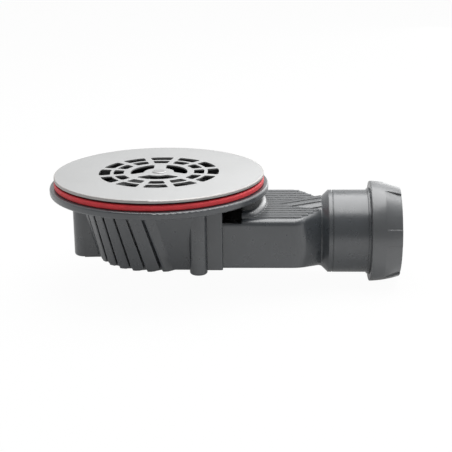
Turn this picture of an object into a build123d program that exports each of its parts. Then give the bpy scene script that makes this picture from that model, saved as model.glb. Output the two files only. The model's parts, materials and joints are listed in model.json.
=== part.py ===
from build123d import *
import math
import os

# Low shower trap with a stainless grating, a clamped tray flange and a side outlet.
# Millimetres. Z = 0 is the underside of the shower tray, on the axis of the waste.
# +X runs along the outlet, -Y is the front. Angles about Z are counted from the front towards +X.

# Grating: a pressed sheet with a down-turned rim
COVER_RADIUS = 57.5
COVER_SHEET = 0.8
COVER_RIM_HEIGHT = 1.55
COVER_EDGE_ROUND = 0.5
SLOT_COUNT = 12
OUTER_SLOT_INNER_RADIUS = 26.8
OUTER_SLOT_OUTER_RADIUS = 33.0
OUTER_SLOT_WEB = 3.6
MIDDLE_SLOT_INNER_RADIUS = 19.3
MIDDLE_SLOT_OUTER_RADIUS = 25.0
MIDDLE_SLOT_WEB = 3.2
CURVED_SLOT_COUNT = 3
CURVED_SLOT_INNER_RADIUS = 8.2
CURVED_SLOT_OUTER_RADIUS = 15.7
CURVED_SLOT_WEB = 6.6
SLOT_CORNER_ROUND = 1.2
SLOT_TURN = 1.9

# Rivet and carrier that hold the grating in the clamping ring
RIVET_HEAD_RADIUS = 3.8
RIVET_HEAD_HEIGHT = 0.5
RIVET_HEAD_ROUND = 0.45
RIVET_SHANK_RADIUS = 1.6
RIVET_TAIL_RADIUS = 2.8
RIVET_TAIL_HEIGHT = 0.6
RIVET_FIT = 0.05
CARRIER_DEPTH = 5.9
CARRIER_WALL = 2.4
CARRIER_HUB_RADIUS = 5.0
CARRIER_SPOKE_WIDTH = 5.0
CARRIER_SPOKE_HEIGHT = 2.5
CARRIER_CLEARANCE = 0.25

# Clamping ring above the tray
RING_RADIUS = 55.6
RING_THICKNESS = 1.9
RING_HUB_DROP = 1.6
RING_EDGE_ROUND = 0.4
TRAY_HOLE_RADIUS = 45.0
TRAY_HOLE_CLEARANCE = 0.1
COLLAR_DEPTH = 6.0
COLLAR_WALL = 1.8
COLLAR_CLEARANCE = 0.3

# Gasket under the tray
GASKET_RADIUS = 57.6
GASKET_BORE_RADIUS = 46.5
GASKET_THICKNESS = 3.2
GASKET_EDGE_ROUND = 0.9

# Trap body: flange, throat and cup
FLANGE_RADIUS = 60.0
FLANGE_THICKNESS = 3.9
FLANGE_EDGE_ROUND = 1.0
WALL = 2.2
THROAT_RADIUS = 38.5
THROAT_DEPTH = 7.2
LEDGE_RADIUS = 36.5
LEDGE_THICKNESS = 2.2
CUP_DEPTH = 36.5
CUP_TOP_RADIUS = 41.0
CUP_BOTTOM_RADIUS = 31.2
CUP_EDGE_ROUND = 1.2

# Slanted saw-tooth reeds on the cup's left half, front and back
REED_COUNT = 8
REED_DEPTH = 4.2
REED_LAST_TOP_DEPTH = 1.8
REED_LAST_SPREAD = 1.6
REED_LEAN = 1.4
REED_ROOT = 1.0
REED_CREST_ROUND = 1.4
REED_TOP_FIRST_ANGLE = -82.4
REED_TOP_PITCH = 10.3
REED_BOTTOM_FIRST_ANGLE = -95.8
REED_BOTTOM_PITCH = 14.4
REED_ENVELOPE = 3.9
REED_END_ROUND = 1.8

# Screw bosses, clamping screws and their threaded inserts
BOSS_COUNT = 3
BOSS_FIRST_ANGLE = 33.3
BOLT_CIRCLE_RADIUS = 42.3
BOSS_RADIUS = 4.7
SIDE_BOSS_RADIUS = 6.1
BOSS_DROP = 0.3
BOSS_END_ROUND = 1.2
SCREW_RADIUS = 2.0
SCREW_LENGTH = 30.0
SCREW_HEAD_RADIUS = 3.9
SCREW_HEAD_HEIGHT = 2.1
SCREW_CLEARANCE = 0.15
SCREW_DRIVE_RADIUS = 1.4
SCREW_DRIVE_DEPTH = 1.2
SCREW_DRIVE_SIDES = 6
INSERT_RADIUS = 2.6
INSERT_LENGTH = 8.0
INSERT_FIT = 0.05
PILOT_DEPTH = 34.0

# Flat channel from the cup to the outlet
CHANNEL_HALF_WIDTH = 32.0
CHANNEL_ROOF_DROP = 8.5
CHANNEL_HEIGHT = 26.8
CHANNEL_START = 20.0
CHANNEL_END = 77.0
CHANNEL_TOP_ROUND = 3.4
CHANNEL_BOTTOM_ROUND = 1.5
ENTRY_HALF_WIDTH = 34.5
ENTRY_END = 36.0
ENTRY_EDGE_ROUND = 1.0
TROUGH_END = 46.0
TROUGH_LIP_DROP = 1.9
TROUGH_DEPTH = 7.4
TROUGH_BACK = 12.0
STEP_RADIUS = 59.3
STEP_HEIGHT = 3.4
STEP_ROUND = 3.2
STEP_CORNER_ROUND = 8.0
RIB_COUNT = 13
RIB_PITCH = 4.2
RIB_WIDTH = 3.0
RIB_HEIGHT = 0.45
WEIR_RADIUS = 50.0
WEIR_HEIGHT = 17.0

# Round outlet: taper, neck, socket and thread land
OUTLET_DROP = 31.2
TAPER_LENGTH = 12.0
TAPER_BEND = 10.0
TAPER_BEND_STEPS = 5
TAPER_CORNER_ANGLE = 54.0
TAPER_CORNER_SPAN = 14.0
TAPER_SINK = 0.2
NECK_RADIUS = 19.3
NECK_END_RADIUS = 19.6
NECK_LENGTH = 0.5
FAIRING_START = 57.0
FAIRING_SINK = 0.3
FAIRING_TIP = 62.0
FAIRING_TIP_RADIUS = 15.0
SHOULDER_LENGTH = 3.3
PIPE_RADIUS = 22.8
PIPE_LENGTH = 33.3
PIPE_LINE_OFFSET = 2.0
PIPE_LINE_WIDTH = 0.5
PIPE_LINE_DEPTH = 0.25
SOCKET_RADIUS = 20.2
SOCKET_STOP = 0.3
LAND_RADIUS = 23.6
LAND_LENGTH = 12.0
MOUTH_DEPTH = 2.5
MOUTH_FLARE = 2.1

# Union nut, slip washer and sealing ring
NUT_LENGTH = 16.5
NUT_START_RADIUS = 27.7
NUT_MIDDLE_RADIUS = 26.9
NUT_END_RADIUS = 24.9
NUT_LIP = 1.7
NUT_OPENING_RADIUS = 20.7
NUT_THREAD_CLEARANCE = 0.4
NUT_EDGE_ROUND = 0.5
SCOOP_COUNT = 5
SCOOP_ARC = 52.0
SCOOP_FIRST_ANGLE = 20.0
SCOOP_LENGTH = 9.0
SCOOP_DEPTH = 1.3
WASHER_THICKNESS = 1.2
WASHER_BORE_RADIUS = 20.5
WASHER_GAP = 0.1
SEAL_HEAD = 2.9
SEAL_NOSE = 1.8
SEAL_BORE_RADIUS = 20.3
SEAL_CLEARANCE = 0.1

# Lift-out trap insert with its dip tube and O-ring
TUBE_RADIUS = 24.0
TUBE_WALL = 2.0
TUBE_FLOOR_GAP = 4.1
RIM_HEIGHT = 3.5
RIM_WALL = 4.0
RIM_CLEARANCE = 0.3
DISH_DROP = 6.0
HANDLE_WIDTH = 4.0
HANDLE_HEIGHT = 3.0
ORING_SECTION_RADIUS = 1.05
ORING_SQUEEZE_GAP = 0.05
ORING_GROOVE_CLEARANCE = 0.05

# Levels worked out from the sizes above
COVER_TOP = RING_THICKNESS + COVER_SHEET
FLANGE_TOP = -GASKET_THICKNESS
FLANGE_BOTTOM = FLANGE_TOP - FLANGE_THICKNESS
CUP_BOTTOM = FLANGE_BOTTOM - CUP_DEPTH
CUP_FLOOR = CUP_BOTTOM + WALL
LEDGE_TOP = FLANGE_TOP - THROAT_DEPTH
LEDGE_BOTTOM = LEDGE_TOP - LEDGE_THICKNESS
BOSS_BOTTOM = CUP_BOTTOM - BOSS_DROP
ROOF = FLANGE_BOTTOM - CHANNEL_ROOF_DROP
CHANNEL_BOTTOM = ROOF - CHANNEL_HEIGHT
CHANNEL_FLOOR = CHANNEL_BOTTOM + WALL
CEILING = ROOF - WALL
OUTLET_Z = -OUTLET_DROP
FAIRING_RADIUS = OUTLET_Z - CHANNEL_BOTTOM - FAIRING_SINK

# Places along the outlet
NECK_START = CHANNEL_END + TAPER_LENGTH
SHOULDER_START = NECK_START + NECK_LENGTH
PIPE_START = SHOULDER_START + SHOULDER_LENGTH
PIPE_END = PIPE_START + PIPE_LENGTH
LAND_START = PIPE_END - LAND_LENGTH
SOCKET_START = PIPE_START + SOCKET_STOP
SEAL_END = PIPE_END + SEAL_HEAD
WASHER_START = SEAL_END + WASHER_GAP
WASHER_END = WASHER_START + WASHER_THICKNESS
NUT_END = WASHER_END + NUT_LIP
NUT_START = NUT_END - NUT_LENGTH
NUT_BORE_RADIUS = LAND_RADIUS + NUT_THREAD_CLEARANCE

COLLAR_RADIUS = THROAT_RADIUS - COLLAR_CLEARANCE
COLLAR_BORE_RADIUS = COLLAR_RADIUS - COLLAR_WALL
CARRIER_RADIUS = COLLAR_BORE_RADIUS - CARRIER_CLEARANCE
RIM_RADIUS = THROAT_RADIUS - RIM_CLEARANCE
OUTLET_AXIS = Axis((0, 0, OUTLET_Z), (1, 0, 0))
FULL_TURN = 360.0
HALF_TURN = FULL_TURN / 2
# Extra length of a cutter beyond the face it cuts
OVERRUN = 1.0
# Rise of an arc below which it is drawn as a straight line
STRAIGHT_RISE = 0.001


def around(radius, angle, height=0.0):
    """Place at a radius and an angle counted from the front towards +X."""
    turn = math.radians(angle)
    return (radius * math.sin(turn), -radius * math.cos(turn), height)


def turned(points):
    """Solid turned about Z from (radius, height) points."""
    return revolve(Plane.XZ * make_face(Polyline(*points, close=True)), Axis.Z)


def turned_on_outlet(points):
    """Solid turned about the outlet's axis from (x, radius) points."""
    raised = [(x, radius + OUTLET_Z) for x, radius in points]
    return revolve(Plane.XZ * make_face(Polyline(*raised, close=True)), OUTLET_AXIS)


def upright(radius, low, high):
    """Cylinder about Z between two heights."""
    return Pos(0, 0, low) * Cylinder(radius, high - low, align=(Align.CENTER, Align.CENTER, Align.MIN))


def block(low, high):
    """Box between two corners."""
    size = [b - a for a, b in zip(low, high)]
    return Pos(*low) * Box(*size, align=(Align.MIN, Align.MIN, Align.MIN))


def cup_radius(height):
    """Radius of the tapering cup's plain wall at a height."""
    share = (FLANGE_BOTTOM - height) / CUP_DEPTH
    return CUP_TOP_RADIUS + (CUP_BOTTOM_RADIUS - CUP_TOP_RADIUS) * share


def slot_outline(inner_radius, outer_radius, web, count):
    """One grating slot between two radii, with straight webs of even width beside it."""
    half_pitch = math.pi / count
    inner_half = half_pitch - math.asin(web / 2 / inner_radius)
    outer_half = half_pitch - math.asin(web / 2 / outer_radius)

    def arc(radius, half):
        ends = [(radius * math.sin(turn), -radius * math.cos(turn)) for turn in (-half, 0, half)]
        return ThreePointArc(*ends)

    outer = arc(outer_radius, outer_half)
    inner = arc(inner_radius, inner_half)
    sides = [Line(outer @ 0, inner @ 0), Line(outer @ 1, inner @ 1)]
    outline = make_face([outer, inner, *sides])
    return fillet(outline.vertices(), SLOT_CORNER_ROUND)


def grating_slots():
    """All slots of the grating as one flat sketch."""
    rings = [
        (OUTER_SLOT_INNER_RADIUS, OUTER_SLOT_OUTER_RADIUS, OUTER_SLOT_WEB, SLOT_COUNT),
        (MIDDLE_SLOT_INNER_RADIUS, MIDDLE_SLOT_OUTER_RADIUS, MIDDLE_SLOT_WEB, SLOT_COUNT),
        (CURVED_SLOT_INNER_RADIUS, CURVED_SLOT_OUTER_RADIUS, CURVED_SLOT_WEB, CURVED_SLOT_COUNT),
    ]
    slots = []
    for inner_radius, outer_radius, web, count in rings:
        outline = slot_outline(inner_radius, outer_radius, web, count)
        slots += [Rot(0, 0, SLOT_TURN + FULL_TURN / count * index) * outline for index in range(count)]
    return slots


def make_cover_plate():
    rim_bottom = COVER_TOP - COVER_RIM_HEIGHT
    plate = upright(COVER_RADIUS, rim_bottom, COVER_TOP)
    plate = fillet(plate.edges().group_by(Axis.Z)[-1], COVER_EDGE_ROUND)
    plate -= upright(COVER_RADIUS - COVER_SHEET, rim_bottom - OVERRUN, RING_THICKNESS)
    plate -= upright(RIVET_SHANK_RADIUS + RIVET_FIT, RING_THICKNESS - OVERRUN, COVER_TOP + OVERRUN)
    for outline in grating_slots():
        plate -= Pos(0, 0, RING_THICKNESS - OVERRUN) * extrude(outline, COVER_SHEET + 2 * OVERRUN)
    return plate


def make_cover_rivet():
    carrier_bottom = RING_THICKNESS - CARRIER_DEPTH
    head = upright(RIVET_HEAD_RADIUS, COVER_TOP, COVER_TOP + RIVET_HEAD_HEIGHT)
    head = fillet(head.edges().group_by(Axis.Z)[-1], RIVET_HEAD_ROUND)
    shank = upright(RIVET_SHANK_RADIUS, carrier_bottom, COVER_TOP)
    tail = upright(RIVET_TAIL_RADIUS, carrier_bottom - RIVET_TAIL_HEIGHT, carrier_bottom)
    return head + shank + tail


def make_cover_carrier():
    bottom = RING_THICKNESS - CARRIER_DEPTH
    ring = upright(CARRIER_RADIUS, bottom, RING_THICKNESS)
    ring -= upright(CARRIER_RADIUS - CARRIER_WALL, bottom - OVERRUN, RING_THICKNESS + OVERRUN)
    carrier = ring + upright(CARRIER_HUB_RADIUS, bottom, RING_THICKNESS)
    reach = CARRIER_RADIUS - CARRIER_WALL / 2
    spoke = block((-CARRIER_SPOKE_WIDTH / 2, 0, bottom),
                  (CARRIER_SPOKE_WIDTH / 2, reach, bottom + CARRIER_SPOKE_HEIGHT))
    for index in range(CURVED_SLOT_COUNT):
        carrier += Rot(0, 0, SLOT_TURN + FULL_TURN / CURVED_SLOT_COUNT * index) * spoke
    bore = upright(RIVET_SHANK_RADIUS + RIVET_FIT, bottom - OVERRUN, RING_THICKNESS + OVERRUN)
    return carrier - bore


def boss_angles():
    return [BOSS_FIRST_ANGLE + FULL_TURN / BOSS_COUNT * index for index in range(BOSS_COUNT)]


def screw_cone(clearance):
    """Countersunk head, or with a clearance the seat cut for it."""
    head_radius = SCREW_HEAD_RADIUS + clearance
    neck_radius = SCREW_RADIUS + clearance
    low = RING_THICKNESS - SCREW_HEAD_HEIGHT
    points = [(0, low), (neck_radius, low), (head_radius, RING_THICKNESS), (0, RING_THICKNESS)]
    return turned(points)


def make_clamping_ring():
    hub_radius = TRAY_HOLE_RADIUS - TRAY_HOLE_CLEARANCE
    flange = upright(RING_RADIUS, 0, RING_THICKNESS)
    flange = fillet(flange.edges(), RING_EDGE_ROUND)
    ring = flange + upright(hub_radius, -RING_HUB_DROP, RING_EDGE_ROUND)
    ring += upright(COLLAR_RADIUS, -COLLAR_DEPTH, 0)
    ring -= upright(COLLAR_BORE_RADIUS, -COLLAR_DEPTH - OVERRUN, RING_THICKNESS + OVERRUN)
    hole = upright(SCREW_RADIUS + SCREW_CLEARANCE, -RING_HUB_DROP - OVERRUN, RING_THICKNESS + OVERRUN)
    for angle in boss_angles():
        ring -= Pos(*around(BOLT_CIRCLE_RADIUS, angle)) * (hole + screw_cone(SCREW_CLEARANCE))
    return ring


def make_clamp_screw(angle):
    low = RING_THICKNESS - SCREW_LENGTH
    screw = upright(SCREW_RADIUS, low, RING_THICKNESS - SCREW_HEAD_HEIGHT / 2) + screw_cone(0)
    drive = RegularPolygon(SCREW_DRIVE_RADIUS, SCREW_DRIVE_SIDES)
    screw -= Pos(0, 0, RING_THICKNESS - SCREW_DRIVE_DEPTH) * extrude(drive, SCREW_DRIVE_DEPTH + OVERRUN)
    return Pos(*around(BOLT_CIRCLE_RADIUS, angle)) * screw


def make_thread_insert(angle):
    insert = upright(INSERT_RADIUS, FLANGE_TOP - INSERT_LENGTH, FLANGE_TOP)
    insert -= upright(SCREW_RADIUS + INSERT_FIT, FLANGE_TOP - INSERT_LENGTH - OVERRUN, FLANGE_TOP + OVERRUN)
    return Pos(*around(BOLT_CIRCLE_RADIUS, angle)) * insert


def make_gasket():
    band = upright(GASKET_RADIUS, FLANGE_TOP, 0)
    band = fillet(band.edges().filter_by(GeomType.CIRCLE), GASKET_EDGE_ROUND)
    return band - upright(GASKET_BORE_RADIUS, FLANGE_TOP - OVERRUN, OVERRUN)


def reed_section(height, angle, width, depth):
    """Section across a reed: a steep rounded step, then a flat that falls back into the wall."""
    wall_radius = cup_radius(height)
    root_radius = wall_radius - REED_ROOT
    lean = math.degrees(REED_LEAN / wall_radius)
    flat = (width - lean) * (REED_DEPTH + REED_ROOT) / REED_DEPTH
    outline = make_face(Polyline(around(root_radius, angle),
                                 around(wall_radius + depth, angle + lean),
                                 around(root_radius, angle + lean + flat), close=True))
    crest = outline.vertices().sort_by_distance((0, 0, 0))[-1]
    return Pos(0, 0, height) * fillet(crest, REED_CREST_ROUND)


def make_reed(index):
    """One slanted reed from the flange down to the cup's bottom edge. The last one is wider and fades."""
    last = index == REED_COUNT - 1
    top_depth = REED_LAST_TOP_DEPTH if last else REED_DEPTH
    spread = REED_LAST_SPREAD if last else 1.0
    rows = [
        (CUP_BOTTOM, REED_BOTTOM_FIRST_ANGLE, REED_BOTTOM_PITCH, REED_DEPTH),
        (FLANGE_BOTTOM, REED_TOP_FIRST_ANGLE, REED_TOP_PITCH, top_depth),
    ]
    sections = [reed_section(height, first_angle + pitch * index, pitch * spread, depth)
                for height, first_angle, pitch, depth in rows]
    return loft(sections, ruled=True)


def make_reed_envelope():
    """Turned shape that rounds the reeds off at the cup's bottom edge."""
    envelope = turned([(0, CUP_BOTTOM), (CUP_BOTTOM_RADIUS + REED_ENVELOPE, CUP_BOTTOM),
                       (CUP_TOP_RADIUS + REED_ENVELOPE, FLANGE_BOTTOM), (0, FLANGE_BOTTOM)])
    return fillet(envelope.edges().filter_by(GeomType.CIRCLE).group_by(Axis.Z)[0], REED_END_ROUND)


def cup_wall(inset, low, high, end):
    """Tapering cup between two heights: round, with straight sides that run on to an X."""
    top_radius = cup_radius(high) - inset
    bottom_radius = cup_radius(low) - inset
    cone = turned([(0, low), (bottom_radius, low), (top_radius, high), (0, high)])
    section = Polyline((-bottom_radius, low), (bottom_radius, low),
                       (top_radius, high), (-top_radius, high), close=True)
    return cone + extrude(Plane.YZ * make_face(section), end)


def make_cup_outside():
    end = around(BOLT_CIRCLE_RADIUS, BOSS_FIRST_ANGLE)[0]
    cup = cup_wall(0, CUP_BOTTOM, FLANGE_BOTTOM, end)
    outline = [edge for edge in cup.edges().group_by(Axis.Z)[0] if (edge @ 0.5).X < end - OVERRUN]
    cup = fillet(outline, CUP_EDGE_ROUND)
    envelope = make_reed_envelope()
    reeds = [make_reed(index) & envelope for index in range(REED_COUNT)]
    # The first reed runs into the side boss's web, so it has no twin at the back
    for reed in reeds + [mirror(reed, Plane.XZ) for reed in reeds[1:]]:
        cup += reed
    return cup


def boss_radius(angle):
    """The boss opposite the outlet stands clear of the cup and is wider."""
    return SIDE_BOSS_RADIUS if angle == boss_angles()[-1] else BOSS_RADIUS


def make_boss(angle):
    boss = upright(boss_radius(angle), BOSS_BOTTOM, FLANGE_BOTTOM)
    boss = fillet(boss.edges().group_by(Axis.Z)[0], BOSS_END_ROUND)
    return Pos(*around(BOLT_CIRCLE_RADIUS, angle)) * boss


def make_boss_web(angle):
    """Flat-sided web from the cup out to the boss that stands clear of it."""
    half_width = boss_radius(angle)
    web = block((-half_width, -BOLT_CIRCLE_RADIUS, BOSS_BOTTOM),
                (half_width, WALL - CUP_BOTTOM_RADIUS, FLANGE_BOTTOM))
    return Rot(0, 0, angle) * web


def halfway(start, end):
    return tuple((a + b) / 2 for a, b in zip(start, end))


def on_circle(centre, radius, angle):
    turn = math.radians(angle)
    return (centre[0] + radius * math.cos(turn), centre[1] + radius * math.sin(turn))


def arc_piece(centre, radius, start, end):
    """Start, middle and end of an arc in (y, z)."""
    return [on_circle(centre, radius, angle) for angle in (start, (start + end) / 2, end)]


def line_piece(start, end):
    return [start, halfway(start, end), end]


def channel_outline(half_width, low, high, low_round, high_round):
    """Flat channel section as eight pieces from its top side round: straight sides and rounded corners."""
    quarter = FULL_TURN / 4
    top_y, top_z = half_width - high_round, high - high_round
    low_y, low_z = half_width - low_round, low + low_round
    corners = [
        arc_piece((-top_y, top_z), high_round, quarter, 2 * quarter),
        arc_piece((-low_y, low_z), low_round, 2 * quarter, 3 * quarter),
        arc_piece((low_y, low_z), low_round, 3 * quarter, 4 * quarter),
        arc_piece((top_y, top_z), high_round, 0, quarter),
    ]
    pieces = []
    for index, corner in enumerate(corners):
        pieces += [line_piece(corners[index - 1][-1], corner[0]), corner]
    return pieces


def neck_outline(radius, flat):
    """Round section with a flat top, in pieces that answer the channel's sides and corners."""
    top = math.degrees(math.asin((flat - OUTLET_Z) / radius))
    low = TAPER_CORNER_ANGLE
    span = TAPER_CORNER_SPAN
    stops = [
        HALF_TURN - top, HALF_TURN - top + span,
        HALF_TURN + low - span / 2, HALF_TURN + low + span / 2,
        FULL_TURN - low - span / 2, FULL_TURN - low + span / 2,
        FULL_TURN + top - span, FULL_TURN + top,
    ]
    arcs = [arc_piece((0, OUTLET_Z), radius, start, end) for start, end in zip(stops, stops[1:])]
    return [line_piece(arcs[-1][-1], arcs[0][0]), *arcs]


def blended(first, second, share):
    """Outline part of the way from one to another."""
    return [[tuple(a + (b - a) * share for a, b in zip(here, there)) for here, there in zip(*pair)]
            for pair in zip(first, second)]


def outline_face(x, pieces):
    """Face across X from an outline in pieces."""
    edges = []
    for start, middle, end in pieces:
        straight = math.dist(middle, halfway(start, end)) < STRAIGHT_RISE
        edges.append(Line(start, end) if straight else ThreePointArc(start, middle, end))
    return Plane.YZ.offset(x) * make_face(edges)


def taper_stations():
    """(x, share narrowed) along the taper: round the bend from the channel's side, then straight on."""
    narrowing = CHANNEL_HALF_WIDTH - NECK_RADIUS
    bend_angle = math.atan2(narrowing, TAPER_LENGTH)
    bend_start = CHANNEL_END - TAPER_BEND * math.tan(bend_angle / 2)
    stations = []
    for step in range(TAPER_BEND_STEPS + 1):
        turn = bend_angle * step / TAPER_BEND_STEPS
        share = TAPER_BEND * (1 - math.cos(turn)) / narrowing
        stations.append((bend_start + TAPER_BEND * math.sin(turn), share))
    return stations + [(NECK_START, 1.0)]


def taper_x(share):
    """Place along X where the taper has narrowed by a share."""
    stations = taper_stations()
    for (x, here), (next_x, there) in zip(stations, stations[1:]):
        if share <= there:
            return x + (next_x - x) * (share - here) / (there - here)
    return NECK_START


def make_channel_outside():
    wide = channel_outline(CHANNEL_HALF_WIDTH, CHANNEL_BOTTOM, ROOF, CHANNEL_BOTTOM_ROUND, CHANNEL_TOP_ROUND)
    narrow = neck_outline(NECK_RADIUS - TAPER_SINK, ROOF)
    stations = taper_stations()
    taper = loft([outline_face(x, blended(wide, narrow, share)) for x, share in stations], ruled=True)
    straight = stations[0][0] - CHANNEL_START
    channel = extrude(outline_face(CHANNEL_START, wide), straight, dir=(1, 0, 0))
    return channel + taper


def make_entry_outside():
    entry = block((CHANNEL_START, -ENTRY_HALF_WIDTH, CHANNEL_BOTTOM),
                  (ENTRY_END, ENTRY_HALF_WIDTH, FLANGE_BOTTOM))
    return fillet(entry.edges().filter_by(Axis.Z), ENTRY_EDGE_ROUND)


def make_step():
    """Rounded step in the roof under the flange's edge."""
    flat = CHANNEL_HALF_WIDTH - CHANNEL_TOP_ROUND
    low, high = ROOF - WALL, ROOF + STEP_HEIGHT
    # Its sides are rounded over the channel's whole length, so that the corners always have room
    step = upright(STEP_RADIUS, low, high) & block((CHANNEL_START, -flat, low), (STEP_RADIUS, flat, high))
    step = fillet(step.edges().filter_by(Axis.Z).sort_by(Axis.X)[-2:], STEP_CORNER_ROUND)
    step = fillet(step.edges().group_by(Axis.Z)[-1].sort_by(Axis.X)[1:], STEP_ROUND)
    return step & block((TROUGH_END, -flat, low), (STEP_RADIUS, flat, high))


def make_ribs():
    """Ribs along the roof, from the step to the taper's slanted edges and on up the fairing."""
    start = STEP_RADIUS - STEP_ROUND
    flat = CHANNEL_HALF_WIDTH - CHANNEL_TOP_ROUND
    chord = math.sqrt(NECK_RADIUS ** 2 - (ROOF - OUTLET_Z) ** 2)
    side = RIB_WIDTH / 2
    top = OUTLET_Z + NECK_RADIUS + RIB_HEIGHT
    fairing = turned_on_outlet([
        (FAIRING_TIP, 0),
        (FAIRING_TIP, FAIRING_TIP_RADIUS + RIB_HEIGHT),
        (NECK_START, NECK_RADIUS + RIB_HEIGHT),
        (NECK_START, 0),
    ])
    ribs = []
    for index in range(RIB_COUNT):
        middle = RIB_PITCH * (index - (RIB_COUNT - 1) / 2)
        rib_start = math.sqrt(start ** 2 - middle ** 2)
        share = min(1.0, (flat - abs(middle) - side) / (flat - chord))
        ribs.append(block((rib_start, middle - side, ROOF - WALL / 2),
                          (taper_x(share), middle + side, ROOF + RIB_HEIGHT)))
        if abs(middle) < chord:
            ribs.append(fairing & block((FAIRING_TIP, middle - side, ROOF), (NECK_START, middle + side, top)))
    return ribs


def make_outlet_outside():
    line = PIPE_START + PIPE_LINE_OFFSET
    grooved = PIPE_RADIUS - PIPE_LINE_DEPTH
    return turned_on_outlet([
        (FAIRING_START, 0),
        (FAIRING_START, FAIRING_RADIUS),
        (FAIRING_TIP, FAIRING_TIP_RADIUS),
        (NECK_START, NECK_RADIUS),
        (SHOULDER_START, NECK_END_RADIUS),
        (PIPE_START, PIPE_RADIUS),
        (line, PIPE_RADIUS),
        (line, grooved),
        (line + PIPE_LINE_WIDTH, grooved),
        (line + PIPE_LINE_WIDTH, PIPE_RADIUS),
        (LAND_START, PIPE_RADIUS),
        (LAND_START, LAND_RADIUS),
        (PIPE_END, LAND_RADIUS),
        (PIPE_END, 0),
    ])


def make_cavity():
    """Everything that is hollow inside the trap body."""
    throat = upright(THROAT_RADIUS, LEDGE_TOP, FLANGE_TOP + OVERRUN)
    ledge = upright(LEDGE_RADIUS, LEDGE_BOTTOM, LEDGE_TOP)
    straight_end = around(BOLT_CIRCLE_RADIUS, boss_angles()[1])[0] - BOSS_RADIUS - WALL
    cup = cup_wall(WALL, CUP_FLOOR, LEDGE_BOTTOM, straight_end)
    inside = CHANNEL_HALF_WIDTH - WALL
    inner_start = CHANNEL_START + WALL
    taper_start = CHANNEL_END - WALL
    trough_ceiling = ROOF - TROUGH_DEPTH - WALL
    entry = block((inner_start, WALL - ENTRY_HALF_WIDTH, CHANNEL_FLOOR),
                  (ENTRY_END - WALL, ENTRY_HALF_WIDTH - WALL, LEDGE_BOTTOM - WALL))
    below_trough = block((inner_start, -inside, CHANNEL_FLOOR), (taper_start, inside, trough_ceiling))
    beyond_trough = block((TROUGH_END + WALL, -inside, CHANNEL_FLOOR), (taper_start, inside, CEILING))
    behind_trough = block((inner_start, TROUGH_BACK + WALL, CHANNEL_FLOOR), (taper_start, inside, CEILING))
    raised = upright(STEP_RADIUS - WALL, CEILING - WALL, CEILING + STEP_HEIGHT)
    flat = CHANNEL_HALF_WIDTH - CHANNEL_TOP_ROUND - WALL
    raised &= block((TROUGH_END + WALL, -flat, CEILING - WALL), (STEP_RADIUS, flat, CEILING + STEP_HEIGHT))
    bore_radius = NECK_RADIUS - WALL
    wide = channel_outline(inside, CHANNEL_FLOOR, CEILING, WALL / 2, WALL / 2)
    narrow = neck_outline(bore_radius - TAPER_SINK, CEILING)
    taper = loft([outline_face(taper_start, wide), outline_face(NECK_START, narrow)], ruled=True)
    outlet = turned_on_outlet([
        (FAIRING_TIP, 0),
        (FAIRING_TIP, FAIRING_TIP_RADIUS - WALL),
        (NECK_START, bore_radius),
        (SOCKET_START, bore_radius),
        (SOCKET_START, SOCKET_RADIUS),
        (PIPE_END - MOUTH_DEPTH, SOCKET_RADIUS),
        (PIPE_END, SOCKET_RADIUS + MOUTH_FLARE),
        (PIPE_END + OVERRUN, SOCKET_RADIUS + MOUTH_FLARE),
        (PIPE_END + OVERRUN, 0),
    ])
    channel = below_trough + beyond_trough + behind_trough + raised
    return throat + ledge + cup + entry + channel + taper + outlet


def make_trough():
    """Open pocket at the channel's front between the entry wall and the round step."""
    front = CHANNEL_HALF_WIDTH - WALL
    top = ROOF + STEP_HEIGHT + OVERRUN
    deep = block((ENTRY_END, -front, ROOF - TROUGH_DEPTH), (TROUGH_END, TROUGH_BACK, top))
    lip = block((ENTRY_END, -CHANNEL_HALF_WIDTH - OVERRUN, ROOF - TROUGH_LIP_DROP),
                (TROUGH_END, TROUGH_BACK, top))
    return deep + lip


def make_trough_wall():
    """Wall behind the pocket, from the roof up to the flange."""
    return block((ENTRY_END - WALL / 2, TROUGH_BACK, ROOF - WALL),
                 (TROUGH_END, TROUGH_BACK + WALL, FLANGE_BOTTOM))


def make_weir():
    """Curved wall across the channel that holds the water in the cup."""
    inside = CHANNEL_HALF_WIDTH - WALL / 2
    top = CHANNEL_FLOOR + WEIR_HEIGHT
    weir = upright(WEIR_RADIUS + WALL, CHANNEL_FLOOR - WALL / 2, top)
    weir -= upright(WEIR_RADIUS, CHANNEL_FLOOR - WALL, top + OVERRUN)
    return weir & block((0, -inside, CHANNEL_FLOOR - WALL), (WEIR_RADIUS + WALL, inside, top))


def make_trap_body():
    body = make_channel_outside() + make_outlet_outside()
    body += make_step()
    for rib in make_ribs():
        body += rib
    body -= make_trough()
    body += make_trough_wall()
    body += make_entry_outside()
    flange = upright(FLANGE_RADIUS, FLANGE_BOTTOM, FLANGE_TOP)
    body += fillet(flange.edges(), FLANGE_EDGE_ROUND)
    body += make_cup_outside()
    body += make_boss_web(boss_angles()[-1])
    for angle in boss_angles():
        body += make_boss(angle)
    body -= make_cavity()
    body += make_weir()
    pocket = upright(INSERT_RADIUS + INSERT_FIT, FLANGE_TOP - INSERT_LENGTH, FLANGE_TOP + OVERRUN)
    pilot = upright(SCREW_RADIUS + INSERT_FIT, FLANGE_TOP - PILOT_DEPTH, FLANGE_TOP)
    for angle in boss_angles():
        body -= Pos(*around(BOLT_CIRCLE_RADIUS, angle)) * (pocket + pilot)
    return body


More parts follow.
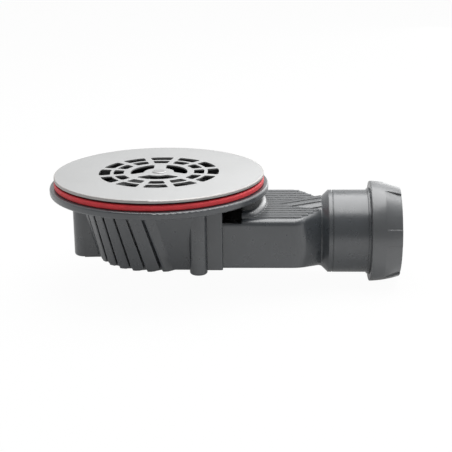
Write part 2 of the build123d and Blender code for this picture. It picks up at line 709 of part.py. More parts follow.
def make_trap_insert():
    """Funnel that rests on the throat's ledge, with a dip tube, a sealing groove and a lifting bar."""
    rim_bottom = LEDGE_TOP
    rim_top = rim_bottom + RIM_HEIGHT
    middle = (rim_bottom + rim_top) / 2
    groove_half = ORING_SECTION_RADIUS + ORING_GROOVE_CLEARANCE
    groove_floor = THROAT_RADIUS - ORING_SQUEEZE_GAP - 2 * ORING_SECTION_RADIUS - ORING_GROOVE_CLEARANCE
    rim_bore = RIM_RADIUS - RIM_WALL
    below_rim = LEDGE_RADIUS - RIM_CLEARANCE
    tube_top = rim_bottom - DISH_DROP
    tube_bottom = CUP_FLOOR + TUBE_FLOOR_GAP
    tube_bore = TUBE_RADIUS - TUBE_WALL
    insert = turned([
        (RIM_RADIUS, rim_top),
        (RIM_RADIUS, middle + groove_half),
        (groove_floor, middle + groove_half),
        (groove_floor, middle - groove_half),
        (RIM_RADIUS, middle - groove_half),
        (RIM_RADIUS, rim_bottom),
        (below_rim, rim_bottom),
        (TUBE_RADIUS, tube_top),
        (TUBE_RADIUS, tube_bottom),
        (tube_bore, tube_bottom),
        (tube_bore, tube_top + TUBE_WALL),
        (rim_bore, rim_bottom + TUBE_WALL),
        (rim_bore, rim_top),
    ])
    reach = (tube_bore + rim_bore) / 2
    bar = block((-reach, -HANDLE_WIDTH / 2, tube_top + TUBE_WALL),
                (reach, HANDLE_WIDTH / 2, tube_top + TUBE_WALL + HANDLE_HEIGHT))
    return insert + bar


def make_insert_o_ring():
    middle = LEDGE_TOP + RIM_HEIGHT / 2
    ring_radius = THROAT_RADIUS - ORING_SQUEEZE_GAP - ORING_SECTION_RADIUS
    return Pos(0, 0, middle) * Torus(ring_radius, ORING_SECTION_RADIUS)


def nut_profile():
    """Half section of the nut: barrel outside, thread bore, washer seat and lip."""
    middle_x = (NUT_START + NUT_END) / 2
    outside = ThreePointArc((NUT_START, NUT_START_RADIUS), (middle_x, NUT_MIDDLE_RADIUS),
                            (NUT_END, NUT_END_RADIUS))
    inside = Polyline((NUT_END, NUT_END_RADIUS), (NUT_END, NUT_OPENING_RADIUS),
                      (WASHER_END, NUT_OPENING_RADIUS), (WASHER_END, NUT_BORE_RADIUS),
                      (NUT_START, NUT_BORE_RADIUS), (NUT_START, NUT_START_RADIUS))
    return make_face([outside, *inside.edges()])


def make_union_nut():
    raised = Pos(0, OUTLET_Z) * nut_profile()
    nut = revolve(Plane.XZ * raised, OUTLET_AXIS)
    rims = nut.edges().sort_by(SortBy.LENGTH)[-2:]
    nut = fillet(rims, NUT_EDGE_ROUND)
    scoop_start = NUT_END - SCOOP_LENGTH
    scoop = make_face(Polyline((scoop_start, OUTLET_Z + NUT_START_RADIUS - SCOOP_DEPTH / 2),
                               (NUT_END + OVERRUN, OUTLET_Z + NUT_END_RADIUS - SCOOP_DEPTH),
                               (NUT_END + OVERRUN, OUTLET_Z + NUT_START_RADIUS + OVERRUN),
                               (scoop_start, OUTLET_Z + NUT_START_RADIUS + OVERRUN), close=True))
    cutter = revolve(Plane.XZ * scoop, OUTLET_AXIS, SCOOP_ARC)
    for index in range(SCOOP_COUNT):
        turn = SCOOP_FIRST_ANGLE + FULL_TURN / SCOOP_COUNT * index
        nut -= cutter.rotate(OUTLET_AXIS, turn)
    return nut


def make_slip_washer():
    radius = NUT_BORE_RADIUS - WASHER_GAP
    return turned_on_outlet([(WASHER_START, WASHER_BORE_RADIUS), (WASHER_START, radius),
                             (WASHER_END, radius), (WASHER_END, WASHER_BORE_RADIUS)])


def make_seal_ring():
    """Compression seal: a square head on the pipe's end and a tapered nose in its mouth."""
    nose_start = PIPE_END - SEAL_NOSE
    flare_left = MOUTH_FLARE * (MOUTH_DEPTH - SEAL_NOSE) / MOUTH_DEPTH
    return turned_on_outlet([
        (nose_start, SEAL_BORE_RADIUS),
        (nose_start, SOCKET_RADIUS + flare_left - SEAL_CLEARANCE),
        (PIPE_END, SOCKET_RADIUS + MOUTH_FLARE - SEAL_CLEARANCE),
        (PIPE_END, LAND_RADIUS),
        (SEAL_END, LAND_RADIUS),
        (SEAL_END, SEAL_BORE_RADIUS),
    ])


def make_all():
    nodes = {
        "cover_plate": make_cover_plate(),
        "cover_rivet": make_cover_rivet(),
        "cover_carrier": make_cover_carrier(),
        "clamping_ring": make_clamping_ring(),
        "gasket": make_gasket(),
        "trap_body": make_trap_body(),
        "trap_insert": make_trap_insert(),
        "insert_o_ring": make_insert_o_ring(),
        "union_nut": make_union_nut(),
        "slip_washer": make_slip_washer(),
        "seal_ring": make_seal_ring(),
    }
    for number, angle in enumerate(boss_angles(), start=1):
        nodes[f"clamp_screw_{number}"] = make_clamp_screw(angle)
        nodes[f"thread_insert_{number}"] = make_thread_insert(angle)
    return nodes


os.makedirs("parts", exist_ok=True)
for name, solid in make_all().items():
    export_step(solid, f"parts/{name}.step")
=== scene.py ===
import json
import math

import bmesh
import bpy
from mathutils import Matrix, Vector


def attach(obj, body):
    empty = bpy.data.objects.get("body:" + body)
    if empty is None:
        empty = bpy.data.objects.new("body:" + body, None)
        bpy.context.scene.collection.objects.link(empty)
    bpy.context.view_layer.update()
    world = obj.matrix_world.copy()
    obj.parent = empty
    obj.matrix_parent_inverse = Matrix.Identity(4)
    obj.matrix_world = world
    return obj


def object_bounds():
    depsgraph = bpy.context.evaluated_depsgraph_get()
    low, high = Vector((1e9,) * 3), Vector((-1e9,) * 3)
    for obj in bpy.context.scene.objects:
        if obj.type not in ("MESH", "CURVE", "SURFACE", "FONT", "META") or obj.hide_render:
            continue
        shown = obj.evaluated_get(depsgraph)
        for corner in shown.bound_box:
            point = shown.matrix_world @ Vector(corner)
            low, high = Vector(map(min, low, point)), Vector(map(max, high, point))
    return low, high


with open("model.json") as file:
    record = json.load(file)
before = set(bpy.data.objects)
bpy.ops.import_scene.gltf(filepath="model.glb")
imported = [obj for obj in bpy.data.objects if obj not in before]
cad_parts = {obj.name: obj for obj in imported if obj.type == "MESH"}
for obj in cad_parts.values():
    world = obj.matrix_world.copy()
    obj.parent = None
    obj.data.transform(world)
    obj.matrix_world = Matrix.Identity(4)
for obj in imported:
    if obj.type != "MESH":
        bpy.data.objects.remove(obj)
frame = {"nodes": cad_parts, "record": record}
CAD_LOW, CAD_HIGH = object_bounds()
NODES = frame["nodes"]

# Camera of the photograph: a square frame, in metres and pixels
FRAME_PIXELS = 452
FOCAL_PIXELS = 1168.2
CAMERA_PLACE = Vector((0.06337, -0.61998, 0.16431))
CAMERA_ELEVATION = math.radians(17.274)
PAN_PIXELS = (48.4, 1167.2)
CAMERA_PAN = math.atan2(*PAN_PIXELS)
CAMERA_CLIP_START = 0.01
SENSOR_WIDTH = 36.0

# Studio: places and sizes in metres, powers in watts
FLOOR_HALF_SIZE = 6.0
FLOOR_COLOUR = (0.64, 0.64, 0.64)
FLOOR_ROUGHNESS = 0.8
FLOOR_SPECULAR = 0.1
FLOOR_WHITE_SHARE = 0.96
# Painted reflection: how much of the floor glows white in reflections, at the front and at the back, and the
# span of Y between them
FLOOR_REFLECTED_GLOW_FRONT = 0.3
FLOOR_REFLECTED_GLOW_BACK = 0.95
FLOOR_REFLECTED_GLOW_SPAN = (-0.05, 0.3)
SOFTBOX_PLACE = (0.12, 0.11, 0.58)
SOFTBOX_SIZE = (0.62, 0.75)
SOFTBOX_POWER = 6.2
SIDE_PANEL_PLACE = (0.62, 0.5, 0.42)
SIDE_PANEL_SIZE = (1.1, 0.9)
SIDE_PANEL_POWER = 3.2
BACK_PANEL_PLACE = (0.42, 0.95, 0.14)
BACK_PANEL_SIZE = (0.34, 0.4)
BACK_PANEL_POWER = 0.9
LAMP_AIM = Vector((0.06, 0.0, -0.03))
FRONT_GREY = 0.34
BACK_GREY = 0.86
BACKDROP_SPAN = (-0.6, 0.3)
WHITE = (1.0, 1.0, 1.0, 1.0)
WORLD_STRENGTH = 1.0

# Fine detail on the outlet, in metres along X and round the outlet's axis
OUTLET_Z = -0.0312
THREAD_PITCH = 0.003
THREAD_WIDTH = 0.0012
THREAD_CREST_SHARE = 1 / 3
THREAD_HEIGHT = 0.0003
THREAD_SINK = 0.00005
THREAD_STEPS = 96
THREAD_FADE = 0.12
LAND_RADIUS = 0.0236
LAND_THREAD_START = 0.115
LAND_THREAD_TURNS = 3.4
NUT_BORE_RADIUS = 0.024
NUT_THREAD_START = LAND_THREAD_START + THREAD_PITCH / 2
NUT_THREAD_TURNS = 3.1

# Reeds of the cup: (height, wall radius, first angle, pitch, depth of the last reed)
REED_BOTTOM = (-0.0436, 0.0312, -95.8, 14.4, 0.0042)
REED_TOP = (-0.0071, 0.041, -82.4, 10.3, 0.0018)
REED_LENGTH = REED_TOP[0] - REED_BOTTOM[0]
REED_COUNT = 8
REED_DEPTH = 0.0042
REED_LEAN = 0.0014
REED_ROOT = 0.001
REED_CREST_ROUND = 0.0014
REED_LAST_SPREAD = 1.6
REED_ENVELOPE = 0.0039
REED_END_ROUND = 0.0018

# Slats on the reeds, with slots of even width between them as seen from the front
SLAT_LEFT_RISE = 0.0037
SLAT_RIGHT_RISE = 0.0029
SLAT_LAST_TOP_RISE = 0.0014
SLAT_GAP = 0.00115
SLAT_ROUND = 0.0006
SLAT_SINK = 0.0004
SLAT_CLEARANCE = 0.00005
SLAT_END_STEPS = 6
SLAT_STEPS = 10
SLAT_FACE_STEPS = 6
TONGUE_LIFT = 0.0019
TONGUE_LOWEST = 0.4
TONGUE_REACH = 0.009
ROUND_STEPS = 4
SHARP_ANGLE = math.radians(40.0)

# Keeps the facets of curved walls out of the edge of their own shadow
SHADOW_OFFSET = 0.5

# Finishes: linear colours
GREY_PLASTIC = (0.038, 0.043, 0.048)
NUT_PLASTIC = (0.066, 0.07, 0.074)
DARK_PLASTIC = (0.018, 0.019, 0.02)
PALE_PLASTIC = (0.72, 0.71, 0.66)
RED_RUBBER = (0.6, 0.035, 0.044)
BLACK_RUBBER = (0.016, 0.016, 0.016)
SATIN_STEEL = (0.41, 0.413, 0.413)
# Tint of the sheet's rim: the edge's own tone, a touch darker as painted shade that tones down its highlight
EDGE_TONE_AND_SHADE = (0.4, 0.39, 0.38)
PLAIN_STEEL = (0.62, 0.62, 0.625)
RIVET_STEEL = (0.42, 0.42, 0.42)
BRASS = (0.7, 0.5, 0.2)

# Finishes: lowest and highest roughness, and how strongly plastic and rubber shine
GREY_ROUGHNESS = (0.26, 0.33)
NUT_ROUGHNESS = (0.29, 0.37)
DARK_ROUGHNESS = (0.4, 0.5)
PALE_ROUGHNESS = (0.35, 0.45)
RUBBER_ROUGHNESS = (0.5, 0.64)
SHEET_ROUGHNESS = (0.5, 0.56)
RIVET_ROUGHNESS = (0.34, 0.42)
SCREW_ROUGHNESS = (0.22, 0.32)
BRASS_ROUGHNESS = (0.2, 0.3)
OUTER_SPECULAR = 0.95
INNER_SPECULAR = 0.5
RUBBER_SPECULAR = 0.4
PLASTIC_IOR = 1.5

# Finishes: noise as (scale, detail), tints as (dark, light), relief as (height in metres, strength)
NOISE_SPREAD = (0.3, 0.7)
PLASTIC_CLOUDS = (45.0, 4.0)
PLASTIC_TINTS = (0.93, 1.07)
PLASTIC_GLOSS = (160.0, 3.0)
PLASTIC_GRAIN = (900.0, 1.0)
PLASTIC_RELIEF = (0.00002, 0.05)
RUBBER_CLOUDS = (220.0, 4.0)
RUBBER_TINTS = (0.9, 1.08)
RUBBER_GLOSS = (500.0, 3.0)
RUBBER_GRAIN = (3200.0, 2.0)
RUBBER_RELIEF = (0.00004, 0.3)
SHEET_CLOUDS = (30.0, 3.0)
SHEET_TINTS = (0.97, 1.02)
SHEET_GRIND = (1.0, 2.0)
SHEET_STRETCH = (40.0, 5200.0, 5200.0)
SHEET_RELIEF = (0.000008, 0.1)
METAL_CLOUDS = (300.0, 3.0)
METAL_TINTS = (0.92, 1.05)
METAL_GLOSS = (900.0, 3.0)
METAL_GRIND = (1.0, 1.0)
METAL_STRETCH = (300.0, 300.0, 6000.0)
METAL_RELIEF = (0.00002, 0.2)

# Rim of the sheet: distances from its middle between which the tint changes, and added roughness. The
# roughness stands for the duller cut edge; the slightly darker tint is partly painted shade that tones down
# the rim's highlight
CUT_EDGE = (0.0567, 0.0570)
CUT_ROUGHNESS = 0.1

# Rounded edges of the mouldings, in metres
BODY_EDGE_ROUND = 0.0007
NUT_EDGE_ROUND = 0.0009


def shaded(colour, factor):
    """The colour made lighter or darker, as RGBA."""
    return tuple(channel * factor for channel in colour) + (1.0,)


class Finish:
    """A node material with one Principled shader and a few helpers for its inputs."""

    def __init__(self, name):
        self.material = bpy.data.materials.new(name)
        self.material.use_nodes = True
        self.nodes = self.material.node_tree.nodes
        self.links = self.material.node_tree.links
        self.shader = self.nodes["Principled BSDF"]
        self.place = self.nodes.new("ShaderNodeTexCoord").outputs["Object"]

    def set(self, **values):
        for name, value in values.items():
            self.shader.inputs[name.replace("_", " ")].default_value = value

    def stretched(self, scale):
        """Object coordinates multiplied by a scale for each axis."""
        mapping = self.nodes.new("ShaderNodeMapping")
        mapping.inputs["Scale"].default_value = scale
        self.links.new(self.place, mapping.inputs["Vector"])
        return mapping.outputs["Vector"]

    def noise(self, grain, vector=None):
        texture = self.nodes.new("ShaderNodeTexNoise")
        texture.inputs["Scale"].default_value, texture.inputs["Detail"].default_value = grain
        self.links.new(vector or self.place, texture.inputs["Vector"])
        return texture.outputs["Fac"]

    def ranged(self, source, limits, span=NOISE_SPREAD):
        """A value mapped from its span, which is that of noise unless given, to a range."""
        spread = self.nodes.new("ShaderNodeMapRange")
        spread.inputs["From Min"].default_value, spread.inputs["From Max"].default_value = span
        spread.inputs["To Min"].default_value, spread.inputs["To Max"].default_value = limits
        self.links.new(source, spread.inputs["Value"])
        return spread.outputs["Result"]

    def tinted(self, source, colour, tints):
        """The colour between its dark and its light tint."""
        ramp = self.nodes.new("ShaderNodeValToRGB")
        for element, position, tint in zip(ramp.color_ramp.elements, NOISE_SPREAD, tints):
            element.position = position
            element.color = shaded(colour, tint)
        self.links.new(source, ramp.inputs["Fac"])
        self.links.new(ramp.outputs["Color"], self.shader.inputs["Base Color"])

    def rough(self, source, limits):
        self.links.new(self.ranged(source, limits), self.shader.inputs["Roughness"])

    def dull_and_shaded_rim(self, span, colour, roughness):
        """Another colour and more roughness beyond a distance from the middle."""
        reach = self.nodes.new("ShaderNodeVectorMath")
        reach.operation = "LENGTH"
        self.links.new(self.place, reach.inputs[0])
        rim = self.ranged(reach.outputs["Value"], (0.0, 1.0), span)
        tint = self.nodes.new("ShaderNodeMixRGB")
        tint.inputs["Color2"].default_value = colour
        base, rough = self.shader.inputs["Base Color"], self.shader.inputs["Roughness"]
        self.links.new(rim, tint.inputs["Fac"])
        self.links.new(base.links[0].from_socket, tint.inputs["Color1"])
        self.links.new(tint.outputs["Color"], base)
        more = self.nodes.new("ShaderNodeMath")
        more.operation = "MULTIPLY_ADD"
        self.links.new(rim, more.inputs[0])
        more.inputs[1].default_value = roughness
        self.links.new(rough.links[0].from_socket, more.inputs[2])
        self.links.new(more.outputs["Value"], rough)

    def bump(self, source, relief, edge_round=0.0):
        """Fine relief, on edges that look rounded off where a radius is given."""
        node = self.nodes.new("ShaderNodeBump")
        if edge_round:
            edge = self.nodes.new("ShaderNodeBevel")
            edge.inputs["Radius"].default_value = edge_round
            self.links.new(edge.outputs["Normal"], node.inputs["Normal"])
        node.inputs["Distance"].default_value, node.inputs["Strength"].default_value = relief
        self.links.new(source, node.inputs["Height"])
        self.links.new(node.outputs["Normal"], self.shader.inputs["Normal"])


def moulded_plastic(name, colour, roughness, specular, edge_round=BODY_EDGE_ROUND):
    """Satin moulded plastic: faint flow clouds, a fine spark-eroded grain and uneven gloss."""
    finish = Finish(name)
    finish.set(IOR=PLASTIC_IOR, Specular_IOR_Level=specular)
    finish.tinted(finish.noise(PLASTIC_CLOUDS), colour, PLASTIC_TINTS)
    finish.rough(finish.noise(PLASTIC_GLOSS), roughness)
    finish.bump(finish.noise(PLASTIC_GRAIN), PLASTIC_RELIEF, edge_round)
    return finish.material


def soft_rubber(name, colour):
    """Matte rubber with a talc-like unevenness."""
    finish = Finish(name)
    finish.set(IOR=PLASTIC_IOR, Specular_IOR_Level=RUBBER_SPECULAR)
    finish.tinted(finish.noise(RUBBER_CLOUDS), colour, RUBBER_TINTS)
    finish.rough(finish.noise(RUBBER_GLOSS), RUBBER_ROUGHNESS)
    finish.bump(finish.noise(RUBBER_GRAIN), RUBBER_RELIEF)
    return finish.material


def satin_sheet(name, colour, roughness):
    """Stainless sheet, ground in one direction, with a rougher cut edge whose slightly darker tint is partly
    painted shade over the rim's highlight.
    """
    finish = Finish(name)
    finish.set(Metallic=1.0)
    grind = finish.noise(SHEET_GRIND, finish.stretched(SHEET_STRETCH))
    finish.tinted(finish.noise(SHEET_CLOUDS), colour, SHEET_TINTS)
    finish.rough(grind, roughness)
    finish.bump(grind, SHEET_RELIEF)
    # Painted shade: the sheet's rim takes a slightly darker tint, along with more roughness
    finish.dull_and_shaded_rim(CUT_EDGE, shaded(EDGE_TONE_AND_SHADE, 1.0), CUT_ROUGHNESS)
    return finish.material


def turned_metal(name, colour, roughness):
    """Metal with fine rings from turning round the upright axis."""
    finish = Finish(name)
    finish.set(Metallic=1.0)
    finish.tinted(finish.noise(METAL_CLOUDS), colour, METAL_TINTS)
    finish.rough(finish.noise(METAL_GLOSS), roughness)
    finish.bump(finish.noise(METAL_GRIND, finish.stretched(METAL_STRETCH)), METAL_RELIEF)
    return finish.material


def make_materials():
    grey = moulded_plastic("grey_moulding", GREY_PLASTIC, GREY_ROUGHNESS, OUTER_SPECULAR)
    nut = moulded_plastic("nut_moulding", NUT_PLASTIC, NUT_ROUGHNESS, OUTER_SPECULAR, NUT_EDGE_ROUND)
    dark = moulded_plastic("dark_moulding", DARK_PLASTIC, DARK_ROUGHNESS, INNER_SPECULAR)
    pale = moulded_plastic("pale_moulding", PALE_PLASTIC, PALE_ROUGHNESS, INNER_SPECULAR)
    red = soft_rubber("red_gasket_rubber", RED_RUBBER)
    black = soft_rubber("black_seal_rubber", BLACK_RUBBER)
    sheet = satin_sheet("satin_cover_sheet", SATIN_STEEL, SHEET_ROUGHNESS)
    rivet = turned_metal("rivet_metal", RIVET_STEEL, RIVET_ROUGHNESS)
    screw = turned_metal("screw_metal", PLAIN_STEEL, SCREW_ROUGHNESS)
    brass = turned_metal("brass_metal", BRASS, BRASS_ROUGHNESS)
    return {
        "satin_steel": sheet, "rivet_steel": rivet, "screw_steel": screw, "insert_brass": brass,
        "dark_plastic": dark, "grey_plastic": grey, "nut_plastic": nut, "pale_plastic": pale,
        "red_rubber": red, "black_rubber": black,
    }


def dress_nodes(materials):
    """Every solid takes the finish of its material slot in the record."""
    for row in frame["record"]["subparts"]:
        node = NODES[row["node"]]
        node.shadow_terminator_geometry_offset = SHADOW_OFFSET
        mesh = node.data
        mesh.materials.clear()
        mesh.materials.append(materials[row["material_slot"]])


def round_outlet(x, radius, angle):
    """Place at a radius round the outlet's axis, the angle counted from the top towards the front."""
    return Vector((x, -radius * math.sin(angle), OUTLET_Z + radius * math.cos(angle)))


def face_outwards(mesh):
    work = bmesh.new()
    work.from_mesh(mesh)
    bmesh.ops.recalc_face_normals(work, faces=work.faces)
    work.to_mesh(mesh)
    work.free()


def swept_mesh(name, rings, body, material):
    """Closed strip through rings of corners, as a piece that rides a body."""
    count = len(rings[0])
    corners = [corner for ring in rings for corner in ring]
    faces = [tuple(range(count))[::-1], tuple(range(len(corners) - count, len(corners)))]
    for row in range(len(rings) - 1):
        for index in range(count):
            here, there = row * count + index, row * count + (index + 1) % count
            faces.append((here, there, there + count, here + count))
    mesh = bpy.data.meshes.new(name)
    mesh.from_pydata(corners, [], faces)
    face_outwards(mesh)
    mesh.shade_smooth()
    mesh.set_sharp_from_angle(angle=SHARP_ANGLE)
    mesh.materials.append(material)
    piece = bpy.data.objects.new(name, mesh)
    bpy.context.scene.collection.objects.link(piece)
    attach(piece, body)


def thread_rings(start, turns, radius, height):
    """Corners of a helical ridge that fades at both ends. A negative height points inwards."""
    sink = math.copysign(THREAD_SINK, height)
    rings = []
    steps = round(THREAD_STEPS * turns)
    for step in range(steps + 1):
        share = step / steps
        fade = min(1.0, share / THREAD_FADE, (1.0 - share) / THREAD_FADE)
        x = start + THREAD_PITCH * turns * share
        angle = 2.0 * math.pi * turns * share
        foot, crest = radius - sink, radius - sink + (height + sink) * fade
        half = THREAD_WIDTH / 2.0
        flat = half * THREAD_CREST_SHARE
        profile = [(-half, foot), (-flat, crest), (flat, crest), (half, foot)]
        rings.append([round_outlet(x + shift, reach, angle) for shift, reach in profile])
    return rings


def add_outlet_detail(materials):
    land = thread_rings(LAND_THREAD_START, LAND_THREAD_TURNS, LAND_RADIUS, THREAD_HEIGHT)
    swept_mesh("land_thread", land, "trap", materials["grey_plastic"])
    bore = thread_rings(NUT_THREAD_START, NUT_THREAD_TURNS, NUT_BORE_RADIUS, -THREAD_HEIGHT)
    swept_mesh("nut_thread", bore, "nut", materials["nut_plastic"])


def in_plan(radius, angle):
    """Place in the plan at a radius and an angle counted from the front towards +X."""
    return Vector((radius * math.sin(angle), -radius * math.cos(angle)))


def rounded(before, corner, after, radius):
    """Points of a rounded corner between two straight sides."""
    back, ahead = before - corner, after - corner
    reach = radius / math.tan(back.angle(ahead) / 2.0)
    start = corner + back.normalized() * min(reach, back.length / 2.0)
    end = corner + ahead.normalized() * min(reach, ahead.length / 2.0)
    shares = [step / ROUND_STEPS for step in range(ROUND_STEPS + 1)]
    return [start.lerp(corner, share).lerp(corner.lerp(end, share), share) for share in shares]


def reed_outline(row, index):
    """Section of a reed in the plan: the foot of its step, its rounded crest and the end of its flat."""
    _, wall_radius, first_angle, pitch, last_depth = row
    last = index == REED_COUNT - 1
    depth = last_depth if last else REED_DEPTH
    width = math.radians(pitch) * (REED_LAST_SPREAD if last else 1.0)
    lean = REED_LEAN / wall_radius
    flat = (width - lean) * (REED_DEPTH + REED_ROOT) / REED_DEPTH
    groove = math.radians(first_angle + pitch * index)
    foot = in_plan(wall_radius - REED_ROOT, groove)
    crest = in_plan(wall_radius + depth, groove + lean)
    end = in_plan(wall_radius - REED_ROOT, groove + lean + flat)
    return [foot, *rounded(foot, crest, end, REED_CREST_ROUND), end]


def leftmost(row, index):
    """The leftmost point of a reed's upper half."""
    outline = reed_outline(row, index)
    wall_radius = row[1]
    level = (wall_radius + max(point.length for point in outline)) / 2.0
    return min((point for point in outline if point.length > level), key=lambda point: point.x)


def at_front(x, radius):
    """Place in the plan on the front half of a circle."""
    return Vector((x, -math.sqrt(radius ** 2 - x ** 2)))


def slat_section(row, index, right_rise):
    """Corners of a slat on a reed: its sides run straight back, and its face falls a little to the right."""
    height, wall_radius = row[:2]
    left = leftmost(row, index)
    right_x = leftmost(row, index + 1).x - SLAT_GAP
    face_start = at_front(left.x, wall_radius + SLAT_LEFT_RISE)
    face_end = at_front(right_x, wall_radius + right_rise)
    flat_start, flat_end = reed_outline(row, index)[-2:]
    share = (right_x - flat_start.x) / (flat_end.x - flat_start.x)
    foot = flat_start.lerp(flat_end, share) + Vector((0.0, SLAT_SINK))
    start = rounded(left, face_start, face_end, SLAT_ROUND)
    end = rounded(face_start, face_end, foot, SLAT_ROUND)
    face = [start[-1].lerp(end[0], step / SLAT_FACE_STEPS) for step in range(1, SLAT_FACE_STEPS)]
    corners = [left + Vector((SLAT_SINK, 0.0)), left, *start, *face, *end, foot]
    return [corner.to_3d() + Vector((0.0, 0.0, height)) for corner in corners]


def tongue_lifts(section):
    """How far each corner of a slat's lower end is lifted, so that the end is a rounded tongue."""
    first = min(corner.x for corner in section)
    width = max(corner.x for corner in section) - first
    sides = [((corner.x - first) / width - TONGUE_LOWEST) / (1.0 - TONGUE_LOWEST) for corner in section]
    return [TONGUE_LIFT * side ** 2 for side in sides]


def rounded_end(corner, rise):
    """A slat's corner, drawn in where the reeds are rounded off at the cup's bottom edge."""
    low, low_radius = REED_BOTTOM[:2]
    high_radius = REED_TOP[1]
    above = max(0.0, corner.z - low)
    wall_radius = low_radius + (high_radius - low_radius) * above / REED_LENGTH
    left = max(0.0, REED_END_ROUND - rise)
    limit = wall_radius + REED_ENVELOPE - SLAT_CLEARANCE
    limit -= REED_END_ROUND - math.sqrt(REED_END_ROUND ** 2 - left ** 2)
    radius = corner.xy.length
    return Vector((*(corner.xy * min(1.0, limit / radius)), corner.z))


def slat_rises():
    """Heights of a slat's sections above the cup's bottom edge, closer together at its rounded end."""
    first = REED_END_ROUND + SLAT_CLEARANCE
    ends = [SLAT_CLEARANCE + REED_END_ROUND * (step / SLAT_END_STEPS) ** 2 for step in range(SLAT_END_STEPS)]
    return ends + [first + (REED_LENGTH - first) * step / SLAT_STEPS for step in range(SLAT_STEPS + 1)]


def slat_rings(index):
    """Sections of a slat from its lower to its upper end."""
    last = index == REED_COUNT - 2
    low = slat_section(REED_BOTTOM, index, SLAT_RIGHT_RISE)
    high = slat_section(REED_TOP, index, SLAT_LAST_TOP_RISE if last else SLAT_RIGHT_RISE)
    rings = []
    for rise in slat_rises():
        fade = max(0.0, 1.0 - rise / TONGUE_REACH)
        shares = [(rise + lift * fade) / REED_LENGTH for lift in tongue_lifts(low)]
        rings.append([rounded_end(a.lerp(b, share), rise) for a, b, share in zip(low, high, shares)])
    return rings


def add_slats(material):
    """Slats at the front and their twins at the back. The first reed lies in the boss's web and has none."""
    for index in range(1, REED_COUNT - 1):
        rings = slat_rings(index)
        twin = [[Vector((corner.x, -corner.y, corner.z)) for corner in ring] for ring in rings]
        swept_mesh(f"reed_slat_front_{index}", rings, "trap", material)
        swept_mesh(f"reed_slat_back_{index}", twin, "trap", material)


def make_camera():
    data = bpy.data.cameras.new("photo_camera")
    data.sensor_width = SENSOR_WIDTH
    data.lens = SENSOR_WIDTH * FOCAL_PIXELS / FRAME_PIXELS
    data.clip_start = CAMERA_CLIP_START
    camera = bpy.data.objects.new("photo_camera", data)
    bpy.context.scene.collection.objects.link(camera)
    tilt = Matrix.Rotation(math.pi / 2 - CAMERA_ELEVATION, 4, "X")
    pan = Matrix.Rotation(CAMERA_PAN, 4, "Y")
    camera.matrix_world = Matrix.Translation(CAMERA_PLACE) @ tilt @ pan
    bpy.context.scene.camera = camera


def floor_white_share(finish):
    """How much of the floor glows plain white: to the camera most of it, and to reflections a painted glow
    that grows towards the back and hides most of the floor's shadow there.
    """
    axes = finish.nodes.new("ShaderNodeSeparateXYZ")
    finish.links.new(finish.place, axes.inputs["Vector"])
    # Painted reflection: the floor's white glow in reflections grows from front to back
    gloss = finish.ranged(axes.outputs["Y"], (FLOOR_REFLECTED_GLOW_FRONT, FLOOR_REFLECTED_GLOW_BACK), FLOOR_REFLECTED_GLOW_SPAN)
    path = finish.nodes.new("ShaderNodeLightPath")
    seen = finish.nodes.new("ShaderNodeMath")
    seen.operation = "MULTIPLY_ADD"
    finish.links.new(path.outputs["Is Glossy Ray"], seen.inputs[0])
    finish.links.new(gloss, seen.inputs[1])
    finish.links.new(path.outputs["Is Camera Ray"], seen.inputs[2])
    share = finish.nodes.new("ShaderNodeMath")
    share.operation = "MULTIPLY"
    share.inputs[1].default_value = FLOOR_WHITE_SHARE
    finish.links.new(seen.outputs["Value"], share.inputs[0])
    return share.outputs["Value"]


def floor_material():
    """Pale floor that takes the object's shadow."""
    finish = Finish("studio_floor")
    finish.set(Base_Color=shaded(FLOOR_COLOUR, 1.0), Roughness=FLOOR_ROUGHNESS)
    finish.set(Specular_IOR_Level=FLOOR_SPECULAR)
    glow = finish.nodes.new("ShaderNodeEmission")
    mix = finish.nodes.new("ShaderNodeMixShader")
    finish.links.new(floor_white_share(finish), mix.inputs["Fac"])
    finish.links.new(finish.shader.outputs["BSDF"], mix.inputs[1])
    finish.links.new(glow.outputs["Emission"], mix.inputs[2])
    finish.links.new(mix.outputs["Shader"], finish.nodes["Material Output"].inputs["Surface"])
    return finish.material


def make_floor():
    half = FLOOR_HALF_SIZE
    mesh = bpy.data.meshes.new("studio_floor")
    corners = [(-half, -half, 0), (half, -half, 0), (half, half, 0), (-half, half, 0)]
    mesh.from_pydata(corners, [], [(0, 1, 2, 3)])
    mesh.materials.append(floor_material())
    floor = bpy.data.objects.new("studio_floor", mesh)
    floor.location.z = CAD_LOW.z
    bpy.context.scene.collection.objects.link(floor)


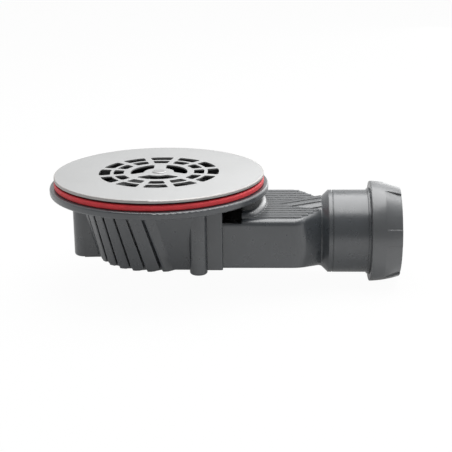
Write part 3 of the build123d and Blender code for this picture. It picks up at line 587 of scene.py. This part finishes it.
def make_lamp(name, place, size, power):
    """Flat rectangular lamp that looks at the object."""
    data = bpy.data.lights.new(name, "AREA")
    data.shape = "RECTANGLE"
    data.size, data.size_y = size
    data.energy = power
    light = bpy.data.objects.new(name, data)
    light.location = place
    light.rotation_euler = (Vector(place) - LAMP_AIM).to_track_quat("Z", "Y").to_euler()
    bpy.context.scene.collection.objects.link(light)


def room_grey(nodes, links):
    """Grey of the room by direction: a pale backdrop behind the object and a dim room in front."""
    place = nodes.new("ShaderNodeTexCoord")
    parts = nodes.new("ShaderNodeSeparateXYZ")
    links.new(place.outputs["Generated"], parts.inputs["Vector"])
    depth = nodes.new("ShaderNodeMapRange")
    depth.interpolation_type = "SMOOTHSTEP"
    depth.inputs["From Min"].default_value, depth.inputs["From Max"].default_value = BACKDROP_SPAN
    depth.inputs["To Min"].default_value = FRONT_GREY
    depth.inputs["To Max"].default_value = BACK_GREY
    links.new(parts.outputs["Y"], depth.inputs["Value"])
    return depth.outputs["Result"]


def make_world():
    """White to the camera, and the grey room to the object."""
    world = bpy.data.worlds.new("studio")
    world.use_nodes = True
    bpy.context.scene.world = world
    nodes, links = world.node_tree.nodes, world.node_tree.links
    room = nodes["Background"]
    room.inputs["Strength"].default_value = WORLD_STRENGTH
    links.new(room_grey(nodes, links), room.inputs["Color"])
    white = nodes.new("ShaderNodeBackground")
    white.inputs["Color"].default_value = WHITE
    path = nodes.new("ShaderNodeLightPath")
    mix = nodes.new("ShaderNodeMixShader")
    links.new(path.outputs["Is Camera Ray"], mix.inputs["Fac"])
    links.new(room.outputs["Background"], mix.inputs[1])
    links.new(white.outputs["Background"], mix.inputs[2])
    links.new(mix.outputs["Shader"], nodes["World Output"].inputs["Surface"])


MATERIALS = make_materials()
dress_nodes(MATERIALS)
add_outlet_detail(MATERIALS)
add_slats(MATERIALS["grey_plastic"])
make_camera()
make_floor()
make_lamp("softbox", SOFTBOX_PLACE, SOFTBOX_SIZE, SOFTBOX_POWER)
make_lamp("side_panel", SIDE_PANEL_PLACE, SIDE_PANEL_SIZE, SIDE_PANEL_POWER)
make_lamp("back_panel", BACK_PANEL_PLACE, BACK_PANEL_SIZE, BACK_PANEL_POWER)
make_world()
bpy.context.scene.view_settings.view_transform = "Standard"
